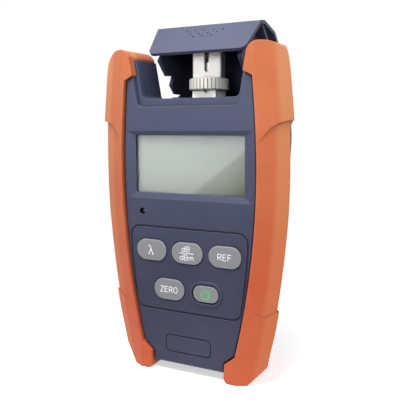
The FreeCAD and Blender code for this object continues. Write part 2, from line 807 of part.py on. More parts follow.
def detector():
    """Metal can light detector in the foot of the port neck, its two legs bent forward to the board."""
    flange = post(0, port_depth, detector_flange, detector_low, detector_low + 0.6)
    can = post(0, port_depth, detector_radius, detector_low, detector_low + 3.2)
    lens = post(0, port_depth, detector_radius * 0.5, detector_low, detector_low + 3.5)
    bend = detector_low - 3.0
    legs = []
    for x in (-detector_leg_spread, detector_leg_spread):
        drop = post(x, port_depth, detector_leg, bend, detector_low + 0.1)
        reach = rod(x, bend, detector_leg, board_front + board_thickness, port_depth)
        elbow = Part.makeSphere(detector_leg, V(x, port_depth, bend))
        legs.append(fuse([drop, reach, elbow]))
    return fuse([flange, can, lens] + legs)


def cover_profile(offset, reach):
    """Closed outline of the shut cover seen from the side, as a face in the YZ plane."""
    low = V(0, offset, cover_low - reach)
    bend = V(0, offset, cover_bend - 0.3 * offset)
    arch = [bend] + [V(0, y + dy * offset, z + dz * offset) for y, z, dy, dz in cover_arch]
    curve = Part.BSplineCurve()
    curve.interpolate(arch)
    heel = V(0, arch[-1].y, arch[-1].z - 0.3 - reach)
    edges = [Part.makeLine(low, bend), curve.toShape(), Part.makeLine(arch[-1], heel), Part.makeLine(heel, low)]
    return Part.Face(Part.Wire(edges))


def across(face, half_width):
    moved = face.copy()
    moved.translate(V(-half_width, 0, 0))
    return moved.extrude(V(2 * half_width, 0, 0))


def cover_front_outline():
    """Front view limit of the cover: tapered panel with round lower corners."""
    a = panel_low_half
    b = panel_high_half
    shape = polygon([(-a, cover_low), (a, cover_low), (b, cover_bend), (-b, cover_bend)], -5, cover_wall)
    edges = []
    for edge in shape.Edges:
        middle = edge.valueAt((edge.FirstParameter + edge.LastParameter) / 2)
        if abs(edge.tangentAt(edge.FirstParameter).y) > 0.99 and middle.z < cover_low + 0.1:
            edges.append(edge)
    return shape.makeFillet(panel_corner, edges)


def grip_dots():
    """Shallow dimples on the shut cover's front panel, rows of five, four and three."""
    dots = []
    for row, count in enumerate((5, 4, 3)):
        for index in range(count):
            x = (index - (count - 1) / 2) * grip_dot_pitch
            z = grip_top_row - grip_row_pitch * row
            dots.append(rod(x, z, grip_dot_radius, -0.5, grip_dot_depth))
    return Part.makeCompound(dots)


def crown_limit(wall):
    """Large tilted cylinder that bows the hood's front upper edge across its width."""
    radius = hood_half_width ** 2 / (2 * cover_crown)
    peak = V(0, 8.0, 143.1)
    lean = math.radians(crown_lean)
    outward = V(0, -math.sin(lean), math.cos(lean))
    along = V(0, math.cos(lean), math.sin(lean))
    start = peak - outward * radius - along * 60
    return Part.makeCylinder(radius - wall, 120, start, along)


def snap_place():
    """Half width at which a snap bump stands just proud of the panel's side edge."""
    share = (snap_height - cover_low) / (cover_bend - cover_low)
    edge = panel_low_half + (panel_high_half - panel_low_half) * share
    return edge + snap_proud - snap_radius


def cover_cheek(x0, x1):
    lower = [
        (cover_wall / 2, 121.2), (3.9, 121.2), (4.3, 115.0), (11.7, 116.3), (16.9, 122.1), (19.4, 114.7),
        (22.3, 116.2), (28.7, 122.3), (hinge_y, hinge_z + 2.0), (36.2, 122.0), (42.0, 122.0), (42.0, 150.0), (cover_wall / 2, 150.0),
    ]
    web = side_polygon(lower, x0, x1)
    inside = across(cover_profile(0.3, 0.0), 30)
    web = web.common(inside)
    hub = Part.makeCylinder(hub_radius, x1 - x0, V(x0, hinge_y, hinge_z), V(1, 0, 0))
    hole = Part.makeCylinder(hinge_pin_radius + hinge_fit, x1 - x0 + 2, V(x0 - 1, hinge_y, hinge_z), V(1, 0, 0))
    return web.fuse(hub).cut(hole)


def dust_cover_shut():
    outer = cover_profile(0.0, 0.0)
    inner = cover_profile(cover_wall, 3.0)
    hollow = across(inner, hood_half_width + 1).common(crown_limit(cover_wall))
    hood = across(outer, hood_half_width).common(crown_limit(0.0)).cut(hollow)
    hood = hood.cut(box(-60, 60, -5, 5, 100, cover_bend))
    for side in (-1, 1):
        x0 = min(side * cheek_outer, side * 60)
        hood = hood.cut(box(x0, x0 + 60 - cheek_outer, 20, 60, 100, hood_skirt_height))
    panel = cover_front_outline().common(box(-60, 60, 0, cover_wall, 100, cover_bend))
    parts = [hood, panel]
    for side in (-1, 1):
        x0 = min(side * cheek_outer, side * (cheek_outer - cheek_thickness))
        parts.append(cover_cheek(x0, x0 + cheek_thickness))
        ledge_x0 = min(side * (cheek_outer - 0.2), side * ledge_outer)
        ledge = box(ledge_x0, ledge_x0 + ledge_outer - cheek_outer + 0.2, 3.0, 17.0, ledge_height, ledge_height + 1.5)
        parts.append(ledge.common(across(cover_profile(0.3, 0.0), 30)))
        parts.append(rod(side * snap_place(), snap_height, snap_radius, 0.3, cover_wall))
    return fuse(parts).cut(grip_dots())


def dust_cover():
    cover = dust_cover_shut()
    cover.rotate(V(0, hinge_y, hinge_z), V(1, 0, 0), -open_angle)
    return cover


def cover_pins():
    pins = []
    for x0 in (-hinge_pin_end, hinge_pin_end - hinge_pin_length):
        pins.append(Part.makeCylinder(hinge_pin_radius, hinge_pin_length, V(x0, hinge_y, hinge_z), V(1, 0, 0)))
    return Part.makeCompound(pins)


def battery_door():
    door = rounded_rect(0, (door_low + door_high) / 2, 2 * door_half_width, door_high - door_low, door_corner,
                        back_depth - door_thickness, back_depth)
    ridges = []
    for index in range(door_ridges):
        z = door_high - 5.0 - door_ridge_pitch * index
        high = back_depth + door_ridge_proud
        ridges.append(box(-door_ridge_half_length, door_ridge_half_length, back_depth - 0.01, high, z - 0.5, z + 0.5))
    return fuse([door] + ridges)


def cell_depth():
    return bay_front + cell_radius + cell_play


def cell_span(side):
    """Lower and upper end of the plain can: the nub end rests on its contact plate."""
    if side > 0:
        high = bay_high() - contact_thickness - nub_length
        return high - cell_length, high
    low = bay_low() + contact_thickness + nub_length
    return low, low + cell_length


def battery_cells():
    solids = []
    depth = cell_depth()
    for side in (-1, 1):
        x = side * cell_spacing / 2
        low, high = cell_span(side)
        nub_low = high if side > 0 else low - nub_length
        nub = post(x, depth, nub_radius, nub_low, nub_low + nub_length)
        solids.append(fuse([post(x, depth, cell_radius, low, high), nub]))
    return Part.makeCompound(solids)


def battery_contacts():
    solids = []
    depth = cell_depth()
    reach = contact_width / 2
    for side in (-1, 1):
        x = side * cell_spacing / 2
        for z in (bay_low(), bay_high() - contact_thickness):
            solids.append(box(x - reach, x + reach, depth - reach, depth + reach, z, z + contact_thickness))
    return Part.makeCompound(solids)


def battery_springs():
    """Bent leaf springs between the contact plates and the flat cell ends."""
    solids = []
    depth = cell_depth()
    for side in (-1, 1):
        low, high = cell_span(side)
        x = side * cell_spacing / 2
        foot = bay_low() + contact_thickness if side > 0 else bay_high() - contact_thickness
        tip = low if side > 0 else high
        back = tip - side * leaf_thickness
        outline = [(x - leaf_reach, foot), (x - leaf_tip, tip), (x + leaf_tip, tip), (x + leaf_reach, foot)]
        outline += [(x + leaf_reach - leaf_thickness, foot), (x + leaf_tip, back)]
        outline += [(x - leaf_tip, back), (x - leaf_reach + leaf_thickness, foot)]
        solids.append(polygon(outline, depth - leaf_width / 2, depth + leaf_width / 2))
    return Part.makeCompound(solids)


def case_screws():
    solids = []
    for x, z in case_screw_places:
        seat = back_depth - case_screw_sink
        top = seat + 1.8
        head = rod(x, z, case_screw_head, seat, top)
        shank = rod(x, z, case_screw_shank, 9.5, seat)
        slot_a = box(x - 1.5, x + 1.5, top - 0.7, top + 0.2, z - 0.3, z + 0.3)
        slot_b = box(x - 0.3, x + 0.3, top - 0.7, top + 0.2, z - 1.5, z + 1.5)
        solids.append(fuse([head, shank]).cut(slot_a).cut(slot_b))
    return Part.makeCompound(solids)


def board_screws():
    solids = []
    back = board_front + board_thickness
    for x, z in board_screw_places:
        head = rod(x, z, board_screw_head, back, back + 1.3)
        shank = rod(x, z, board_screw_shank, 4.2, back)
        solids.append(fuse([head, shank]))
    return Part.makeCompound(solids)


def all_pieces():
    right = right_bumper()
    pieces = {
        "front_case": front_case(),
        "rear_case": rear_case(),
        "right_bumper": right,
        "left_bumper": mirrored(right),
        "display_window": display_window(),
        "display_cell": display_cell(),
        "display_holder": display_holder(),
        "status_lamp": status_lamp(),
        "keypad_mat": keypad_mat(),
        "main_board": main_board(),
        "port_base": port_base(),
        "port_nut": port_nut(),
        "port_adapter": port_adapter(),
        "ferrule_sleeve": ferrule_sleeve(),
        "detector": detector(),
        "dust_cover": dust_cover(),
        "cover_pins": cover_pins(),
        "battery_door": battery_door(),
        "battery_cells": battery_cells(),
        "battery_contacts": battery_contacts(),
        "battery_springs": battery_springs(),
        "case_screws": case_screws(),
        "board_screws": board_screws(),
    }
    for name, x, z, length, height in key_places():
        pieces[name] = key_cap(x, z, length, height)
    return pieces


pieces = all_pieces()
cover_reach = pieces["dust_cover"].optimalBoundingBox(False).YMax
centre_y = (cover_reach - bumper_proud) / 2
os.makedirs("parts", exist_ok=True)
for name, shape in pieces.items():
    shape.translate(V(0, -centre_y, 0))
    shape.exportStep("parts/" + name + ".step")
    print(name, shape.isValid(), len(shape.Solids), round(shape.Volume, 1))
print("centre_y", round(centre_y, 4))
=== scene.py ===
import math

import bpy
import numpy as np
from mathutils import Matrix, Vector


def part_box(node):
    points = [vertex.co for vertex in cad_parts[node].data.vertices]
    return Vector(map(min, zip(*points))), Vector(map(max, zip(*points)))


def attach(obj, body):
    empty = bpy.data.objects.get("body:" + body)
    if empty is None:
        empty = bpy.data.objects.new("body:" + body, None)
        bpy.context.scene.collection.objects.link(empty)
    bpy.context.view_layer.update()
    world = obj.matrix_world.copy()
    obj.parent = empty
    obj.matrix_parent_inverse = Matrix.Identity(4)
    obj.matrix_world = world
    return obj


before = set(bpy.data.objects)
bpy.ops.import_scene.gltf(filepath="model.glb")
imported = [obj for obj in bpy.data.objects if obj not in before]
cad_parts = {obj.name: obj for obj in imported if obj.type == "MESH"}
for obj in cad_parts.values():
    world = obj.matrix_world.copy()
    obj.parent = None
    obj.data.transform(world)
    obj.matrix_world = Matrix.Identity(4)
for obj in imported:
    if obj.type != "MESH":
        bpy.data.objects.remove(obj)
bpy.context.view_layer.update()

# Case halves and battery door: one blue grey ABS blend, injection moulded with a fine spark eroded grain.
# The two shells are screwed together from the back, the door hooks into the rear one. The rims are worn
# paler and carry a painted highlight, the narrow grooves carry painted shade, and the blue is painted
# lighter toward the top, standing in for the light from above.
MM = 0.001
CASE_BLUE = (0.0255, 0.028, 0.055)
# The top tone is painted light: the blue turns lighter toward the top, where the light falls.
CASE_BLUE_PAINTED_LIT_TOP = (0.040, 0.047, 0.086)
CASE_BLUE_LIGHT = (0.056, 0.060, 0.102)
CASE_RIM_HIGHLIGHT = (0.130, 0.145, 0.225)
CASE_EDGE_RADIUS = 0.35 * MM
CASE_GRADE_START = 45.0 * MM
CASE_GRADE_END = 115.0 * MM


def node(tree, kind, inputs=(), **settings):
    """A shader node of that kind with its settings and its input values or links filled in."""
    made = tree.nodes.new(kind)
    for key, value in settings.items():
        setattr(made, key, value)
    for key, value in dict(inputs).items():
        if hasattr(value, "is_output"):
            tree.links.new(value, made.inputs[key])
        else:
            made.inputs[key].default_value = value
    return made


def rgba(colour):
    """The colour with a full alpha behind it."""
    return (colour[0], colour[1], colour[2], 1.0)


def reckon(tree, operation, first, second, **settings):
    """One sum on two numbers, such as ADD, SUBTRACT, MULTIPLY or MAXIMUM."""
    return node(tree, "ShaderNodeMath", {0: first, 1: second}, operation=operation, **settings).outputs[0]


def stretch(tree, value, low, high, to_low=0.0, to_high=1.0, **settings):
    """The share of the way from low to high that the value has come, held between 0 and 1, times the
    distance from to_low to to_high, plus to_low."""
    inputs = {"Value": value, "From Min": low, "From Max": high, "To Min": to_low, "To Max": to_high}
    return node(tree, "ShaderNodeMapRange", inputs, **settings).outputs["Result"]


def noise(tree, vector, scale, detail, **inputs):
    """Smooth noise between 0 and 1: waves of the scale, with finer ones added as often as detail says."""
    inputs.update({"Vector": vector, "Scale": scale, "Detail": detail})
    return node(tree, "ShaderNodeTexNoise", inputs).outputs["Fac"]


def mixed(tree, share, first, second):
    """The first colour times one minus the share, plus the second colour times the share."""
    return node(tree, "ShaderNodeMix", {0: share, 6: first, 7: second}, data_type="RGBA").outputs[2]


def object_point(tree):
    """Where the surface is, in metres in the object's frame."""
    return node(tree, "ShaderNodeTexCoord").outputs["Object"]


def new_tree(name):
    """A new material and its node tree, emptied."""
    material = bpy.data.materials.new(name)
    material.use_nodes = True
    material.node_tree.nodes.clear()
    return material, material.node_tree


CLOUD_SCALE = 28.0
CLOUD_RANGE = (0.3, 0.7)
CLOUD_SHARE = 0.35
CLOUD_ROUGHNESS = 0.06
GRAIN_RANGE = (0.35, 0.7)
GRAIN_SHARE = 0.22
SCUFF_TURN = (0.4, 0.7, 0.3)
SCUFF_STRETCH = (60.0, 900.0, 240.0)
SCUFF_RANGE = (0.66, 0.78)


def moulded_grain_group():
    """Node group: fine moulding grain, slow cloudiness and rare light scuffs, as colour, roughness, height.
    The light colour's share is the sum of the clouds', the grain's, the scuffs' and the edge's; the edge's
    share is partly wear and partly a painted highlight."""
    group = bpy.data.node_groups.new("moulded_grain", "ShaderNodeTree")
    number = "NodeSocketFloat"
    going_in = {"Vector": "NodeSocketVector", "Base": "NodeSocketColor", "Light": "NodeSocketColor",
                "Grain Scale": number, "Grain Depth": number, "Roughness": number, "Scuffs": number,
                "Edge": number}
    for name, kind in going_in.items():
        group.interface.new_socket(name=name, in_out="INPUT", socket_type=kind)
    coming_out = {"Colour": "NodeSocketColor", "Roughness": number, "Height": number}
    for name, kind in coming_out.items():
        group.interface.new_socket(name=name, in_out="OUTPUT", socket_type=kind)
    source = group.nodes.new("NodeGroupInput").outputs
    grain = noise(group, source["Vector"], source["Grain Scale"], 3.0, Roughness=0.6)
    clouds = noise(group, source["Vector"], CLOUD_SCALE, 4.0, Roughness=0.55)
    drawn_out = node(group, "ShaderNodeMapping", {"Vector": source["Vector"], "Rotation": SCUFF_TURN,
                                                  "Scale": SCUFF_STRETCH})
    streaks = noise(group, drawn_out.outputs["Vector"], 1.0, 2.0)
    scuffs = stretch(group, streaks, *SCUFF_RANGE)
    scuff_share = reckon(group, "MULTIPLY", scuffs, source["Scuffs"])
    cloud_share = stretch(group, clouds, *CLOUD_RANGE, 0.0, CLOUD_SHARE)
    grain_share = stretch(group, grain, *GRAIN_RANGE, 0.0, GRAIN_SHARE)
    share = reckon(group, "ADD", cloud_share, grain_share)
    share = reckon(group, "ADD", share, scuff_share)
    share = reckon(group, "ADD", share, source["Edge"], use_clamp=True)
    colour = mixed(group, share, source["Base"], source["Light"])
    rough_change = stretch(group, clouds, 0.0, 1.0, -CLOUD_ROUGHNESS, CLOUD_ROUGHNESS)
    rough = reckon(group, "ADD", source["Roughness"], rough_change, use_clamp=True)
    height = reckon(group, "MULTIPLY", grain, source["Grain Depth"])
    node(group, "NodeGroupOutput", {"Colour": colour, "Roughness": rough, "Height": height})
    return group


moulded_grain = moulded_grain_group()
EDGE_SAMPLES = 4
# Ridges are lightened partly as wear and partly as a painted highlight.
RUB_AND_HIGHLIGHT_RANGE = (0.995, 0.80)
RUB_AND_HIGHLIGHT_SHARE = 0.5
# Painted shade: these set how the colour darkens where other faces stand close.
CREVICE_SAMPLES = 6
CREVICE_REACH = 1.1 * MM
CREVICE_RANGE = (0.35, 0.95)
CREVICE_SHADE = 0.35
BUMP_STRENGTH = 0.5
BUMP_HEIGHT = 0.2 * MM


def moulded(name, base, light, grain_scale, grain_depth, roughness, edge, scuffs=0.0, rim_highlight=None,
            shade_in_crevices=CREVICE_SHADE, **shader_values):
    """A moulded material: the grain group feeds colour, roughness and bump of one Principled shader.
    An edge counts as worn and lit where the normal of its rounding leaves the face's normal: it turns paler
    partly from wear and partly from a painted highlight, and a given tint for the rims, also a painted
    highlight, is laid over those ridges. As painted shade, the colour is multiplied by the value given for
    crevices where other faces stand close, and by 1 in the open."""
    material, tree = new_tree(name)
    inputs = {"Vector": object_point(tree), "Base": rgba(base), "Light": rgba(light),
              "Grain Scale": grain_scale, "Grain Depth": grain_depth, "Roughness": roughness,
              "Scuffs": scuffs}
    grain = node(tree, "ShaderNodeGroup", inputs, node_tree=moulded_grain)
    rounded = node(tree, "ShaderNodeBevel", {"Radius": edge}, samples=EDGE_SAMPLES).outputs["Normal"]
    flat = node(tree, "ShaderNodeNewGeometry").outputs["Normal"]
    agree = node(tree, "ShaderNodeVectorMath", {0: rounded, 1: flat}, operation="DOT_PRODUCT")
    # Painted highlight together with wear: ridges where the rounding's normal turns away from the face's.
    rubbed_and_lit_edge = stretch(tree, agree.outputs["Value"], *RUB_AND_HIGHLIGHT_RANGE, 0.0, RUB_AND_HIGHLIGHT_SHARE)
    around = node(tree, "ShaderNodeAmbientOcclusion", {"Distance": CREVICE_REACH}, samples=CREVICE_SAMPLES)
    rubbed_and_lit_ridge = reckon(tree, "MULTIPLY", rubbed_and_lit_edge, around.outputs["AO"])
    tree.links.new(rubbed_and_lit_ridge, grain.inputs["Edge"])
    # Painted shade: darker in grooves, gaps and seams, where other faces stand close.
    painted_crevice_shade = stretch(tree, around.outputs["AO"], *CREVICE_RANGE, shade_in_crevices, 1.0)
    shaded = node(tree, "ShaderNodeVectorMath", {0: grain.outputs["Colour"], 3: painted_crevice_shade}, operation="SCALE")
    colour = shaded.outputs["Vector"]
    # Painted highlight: the given tint for the rims is laid over the ridges.
    if rim_highlight:
        colour = mixed(tree, rubbed_and_lit_ridge, colour, rgba(rim_highlight))
    bump = node(tree, "ShaderNodeBump", {"Strength": BUMP_STRENGTH, "Distance": BUMP_HEIGHT,
                                         "Height": grain.outputs["Height"], "Normal": rounded})
    shader = node(tree, "ShaderNodeBsdfPrincipled", {"Base Color": colour, "Normal": bump.outputs["Normal"],
                                                     "Roughness": grain.outputs["Roughness"]})
    for key, value in shader_values.items():
        shader.inputs[key.replace("_", " ")].default_value = value
    node(tree, "ShaderNodeOutputMaterial", {"Surface": shader.outputs["BSDF"]})
    return material


# Both gradings below are painted light, standing in for how the light falls from above.
def grade_upward(material, low, high, bottom, top):
    """The grain group's base colour runs from one tone at the bottom height to another at the top height,
    eased at both ends. Returns the tree, the group's node and the graded colour."""
    tree = material.node_tree
    grain = next(entry for entry in tree.nodes if entry.bl_idname == "ShaderNodeGroup")
    split = node(tree, "ShaderNodeSeparateXYZ", {"Vector": object_point(tree)})
    share = stretch(tree, split.outputs["Z"], bottom, top, interpolation_type="SMOOTHSTEP")
    graded = mixed(tree, share, rgba(low), rgba(high))
    tree.links.new(graded, grain.inputs["Base"])
    return tree, grain, graded


def finish_nodes(material, *names):
    """Gives these CAD pieces the material."""
    for name in names:
        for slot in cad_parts[name].material_slots:
            slot.material = material


case_plastic = moulded("case_plastic", CASE_BLUE, CASE_BLUE_LIGHT, grain_scale=2600.0, grain_depth=1.0,
                       roughness=0.50, edge=CASE_EDGE_RADIUS, scuffs=0.10, rim_highlight=CASE_RIM_HIGHLIGHT,
                       Specular_IOR_Level=0.22)
# Painted light: the case's blue grades to the lighter top tone between these heights.
grade_upward(case_plastic, CASE_BLUE, CASE_BLUE_PAINTED_LIT_TOP, CASE_GRADE_START, CASE_GRADE_END)
finish_nodes(case_plastic, "front_case", "rear_case", "battery_door")

# Side bumpers: orange thermoplastic rubber with a satin skin, moulded in one piece each and snapped round
# the case's edge. The orange turns duller and yellower toward the head, which is painted light, and paler
# along the front chamfer, which is a painted highlight.
BUMPER_ORANGE = (0.480, 0.070, 0.026)
BUMPER_ORANGE_PALE = (0.490, 0.160, 0.075)
# The head tone is painted light.
HEAD_ORANGE_PAINTED_LIGHT = (0.330, 0.091, 0.037)
BUMPER_SHEEN = (1.0, 0.80, 0.60)
BUMPER_EDGE_RADIUS = 0.6 * MM
BUMPER_HEIGHT = 142.0 * MM
# The chamfer tint and the depths below paint a highlight along the front chamfer.
CHAMFER_HIGHLIGHT_TINT = (1.10, 1.72, 1.85)
CHAMFER_FRONT = -20.2 * MM
CHAMFER_FULL_FRONT = -19.2 * MM
CHAMFER_FULL_REAR = -17.3 * MM
CHAMFER_REAR = -16.3 * MM
bumper_rubber = moulded("bumper_rubber", BUMPER_ORANGE, BUMPER_ORANGE_PALE, grain_scale=1900.0,
                        grain_depth=0.8, roughness=0.46, edge=BUMPER_EDGE_RADIUS, scuffs=0.06, shade_in_crevices=0.85,
                        Specular_IOR_Level=0.10, Sheen_Weight=0.10, Sheen_Roughness=0.3,
                        Sheen_Tint=rgba(BUMPER_SHEEN))
finish_nodes(bumper_rubber, "left_bumper", "right_bumper")
# Painted light: the orange runs to the duller, yellower head tone toward the top.
tree, grain, graded = grade_upward(bumper_rubber, BUMPER_ORANGE, HEAD_ORANGE_PAINTED_LIGHT, 0.0, BUMPER_HEIGHT)
depth = node(tree, "ShaderNodeSeparateXYZ", {"Vector": object_point(tree)}).outputs["Y"]
behind_front = stretch(tree, depth, CHAMFER_FRONT, CHAMFER_FULL_FRONT)
before_side = stretch(tree, depth, CHAMFER_REAR, CHAMFER_FULL_REAR)
on_chamfer = reckon(tree, "MULTIPLY", behind_front, before_side)
# Painted highlight: the orange is tinted paler on the front chamfer.
chamfer_highlight = node(tree, "ShaderNodeVectorMath", {0: graded, 1: CHAMFER_HIGHLIGHT_TINT}, operation="MULTIPLY")
tree.links.new(mixed(tree, on_chamfer, graded, chamfer_highlight.outputs["Vector"]), grain.inputs["Base"])

# Display: a clear acrylic window pressed in behind the bevel, and a grey green liquid crystal cell in a
# white moulded holder behind it. A painted dark reflection slants over the cell's lower right corner, and
# the cell's tone is painted lighter toward the top and dimmer toward the right.
WINDOW_CLEAR = (0.97, 0.98, 0.97)
WINDOW_IOR = 1.12
SMEAR_SCALE = 45.0
SMEAR_ROUGHNESS = (0.03, 0.10)
window_glass, tree = new_tree("window_glass")
smear = noise(tree, object_point(tree), SMEAR_SCALE, 3.0)
smear_rough = stretch(tree, smear, 0.0, 1.0, *SMEAR_ROUGHNESS)
shader = node(tree, "ShaderNodeBsdfPrincipled", {"Base Color": rgba(WINDOW_CLEAR), "IOR": WINDOW_IOR,
                                                 "Roughness": smear_rough, "Transmission Weight": 1.0})
node(tree, "ShaderNodeOutputMaterial", {"Surface": shader.outputs["BSDF"]})
finish_nodes(window_glass, "display_window")

# Painted light: the cell's tone runs lighter upward and dimmer toward the right.
CELL_LOW_TONE = (0.31, 0.327, 0.307)
CELL_HIGH_TONE = (0.385, 0.41, 0.395)
CELL_RIGHT_DIMMING = 0.76
CELL_GRAIN_SCALE = 3000.0
CELL_ROUGHNESS = (0.30, 0.42)

# The shade's slant is SHADE_SLOPE times the share of the way across, less the share of the way up.
# Painted reflection: a dark slanting shade over the cell's lower right corner.
SHADE_TONE = (0.105, 0.112, 0.088)
SHADE_SLOPE = 1.565
SHADE_START = 0.74
SHADE_EDGE = 0.82
SHADE_END = 1.35
SHADE_AT_EDGE = 0.45
SHADE_BEYOND = 0.5
cell_low, cell_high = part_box("display_cell")
crystal, tree = new_tree("liquid_crystal")
cell_point = object_point(tree)
split = node(tree, "ShaderNodeSeparateXYZ", {"Vector": cell_point})
across = stretch(tree, split.outputs["X"], cell_low[0], cell_high[0])
upward = stretch(tree, split.outputs["Z"], cell_low[2], cell_high[2])
slant = reckon(tree, "SUBTRACT", reckon(tree, "MULTIPLY", across, SHADE_SLOPE), upward)
near = stretch(tree, slant, SHADE_START, SHADE_EDGE, 0.0, SHADE_AT_EDGE)
deep = stretch(tree, slant, SHADE_EDGE, SHADE_END, 0.0, SHADE_BEYOND)
shade = reckon(tree, "ADD", near, deep)
lit_tone = mixed(tree, upward, rgba(CELL_LOW_TONE), rgba(CELL_HIGH_TONE))
sideways = stretch(tree, across, 0.0, 1.0, 1.0, CELL_RIGHT_DIMMING)
dimmed = node(tree, "ShaderNodeVectorMath", {0: lit_tone, 3: sideways}, operation="SCALE")
cell_tone = mixed(tree, shade, dimmed.outputs["Vector"], rgba(SHADE_TONE))
cell_grain = noise(tree, cell_point, CELL_GRAIN_SCALE, 1.0)
cell_rough = stretch(tree, cell_grain, 0.0, 1.0, *CELL_ROUGHNESS)
shader = node(tree, "ShaderNodeBsdfPrincipled", {"Base Color": cell_tone, "Roughness": cell_rough})
node(tree, "ShaderNodeOutputMaterial", {"Surface": shader.outputs["BSDF"]})
finish_nodes(crystal, "display_cell")

HOLDER_WHITE = (0.70, 0.70, 0.68)
HOLDER_WHITE_LIGHT = (0.76, 0.76, 0.75)
holder_plastic = moulded("holder_plastic", HOLDER_WHITE, HOLDER_WHITE_LIGHT, grain_scale=2400.0,
                         grain_depth=0.6, roughness=0.5, edge=0.2 * MM)
finish_nodes(holder_plastic, "display_holder")

# Status lamp: a dark tinted lens with a domed tip, glossy as cast resin is. It stands a little below the
# panel in its hole.
LENS_DARK = (0.010, 0.012, 0.014)
LENS_DARK_LIGHT = (0.02, 0.025, 0.03)
lamp_lens = moulded("lamp_lens", LENS_DARK, LENS_DARK_LIGHT, grain_scale=900.0, grain_depth=0.1,
                    roughness=0.12, edge=0.1 * MM, Coat_Weight=0.6, Coat_Roughness=0.08)
finish_nodes(lamp_lens, "status_lamp")

# Keys: grey silicone caps with a satin coat, each on its own travel through its hole in the panel.
# The legends are printed on the caps, white on four keys and green on the power key.
KEY_GREY = (0.158, 0.161, 0.172)
KEY_GREY_LIGHT = (0.212, 0.216, 0.230)
# The keys' edge tint is a painted highlight, and the gaps around the caps carry painted shade.
KEY_RIM_HIGHLIGHT = (0.52, 0.57, 0.74)
key_silicone = moulded("key_silicone", KEY_GREY, KEY_GREY_LIGHT, grain_scale=2200.0, grain_depth=0.7,
                       roughness=0.48, edge=0.5 * MM, scuffs=0.05, rim_highlight=KEY_RIM_HIGHLIGHT, shade_in_crevices=0.7,
                       Specular_IOR_Level=0.5)
finish_nodes(key_silicone, "key_wavelength", "key_units", "key_reference", "key_zero", "key_power")

INK_WHITE = (0.70, 0.71, 0.74)
INK_WHITE_LIGHT = (0.78, 0.79, 0.82)
INK_GREEN = (0.045, 0.40, 0.105)
INK_GREEN_LIGHT = (0.08, 0.48, 0.15)
LEGEND_LIFT = 0.02 * MM
STROKE_STEP = 0.001 * MM
MITRE_LIMIT = 0.5
ink = {"grain_scale": 4000.0, "grain_depth": 0.2, "roughness": 0.45, "edge": 0.02 * MM}
legend_white = moulded("legend_white", INK_WHITE, INK_WHITE_LIGHT, **ink)
legend_green = moulded("legend_green", INK_GREEN, INK_GREEN_LIGHT, **ink)


def stroke_mesh(name, strokes, width, centre, lift):
    """Flat printed lines in the XZ plane. Each stroke is a path of points; its ribbon is the path moved to
    both sides by half the width along the mean of the neighbouring segments' normals, divided by the
    cosine of the half turn so that the width stays even. Each stroke lies a hair above the one before it."""
    points = []
    faces = []
    start = 0
    for index, stroke in enumerate(strokes):
        path = np.array(stroke, dtype=float) * MM
        step = np.diff(path, axis=0)
        step /= np.linalg.norm(step, axis=1)[:, None]
        closed = np.allclose(path[0], path[-1])
        before = np.vstack([step[-1:] if closed else step[:1], step])
        after = np.vstack([step, step[:1] if closed else step[-1:]])
        side_before = np.stack([-before[:, 1], before[:, 0]], axis=1)
        side_after = np.stack([-after[:, 1], after[:, 0]], axis=1)
        mitre = side_before + side_after
        mitre /= np.linalg.norm(mitre, axis=1)[:, None]
        reach = width / 2 / np.maximum((mitre * side_after).sum(axis=1), MITRE_LIMIT)
        left = path + mitre * reach[:, None]
        right = path - mitre * reach[:, None]
        x, z = np.stack([left, right], axis=1).reshape(-1, 2).T
        y = np.full(len(x), centre[1] - lift - index * STROKE_STEP)
        points.append(np.stack([centre[0] + x, y, centre[2] + z], axis=1))
        corner = start + 2 * np.arange(len(path) - 1)
        faces.append(np.stack([corner, corner + 1, corner + 3, corner + 2], axis=1))
        start += len(x)
    mesh = bpy.data.meshes.new(name)
    mesh.from_pydata(np.concatenate(points).tolist(), [], np.concatenate(faces).tolist())
    piece = bpy.data.objects.new(name, mesh)
    bpy.context.scene.collection.objects.link(piece)
    return piece


def arc(x, z, rx, rz, start, end, count=14):
    """Points on an ellipse from one angle to another, in degrees: x plus rx times the angle's cosine, and z
    plus rz times its sine."""
    angle = np.radians(np.linspace(start, end, count))
    return list(zip(x + rx * np.cos(angle), z + rz * np.sin(angle)))


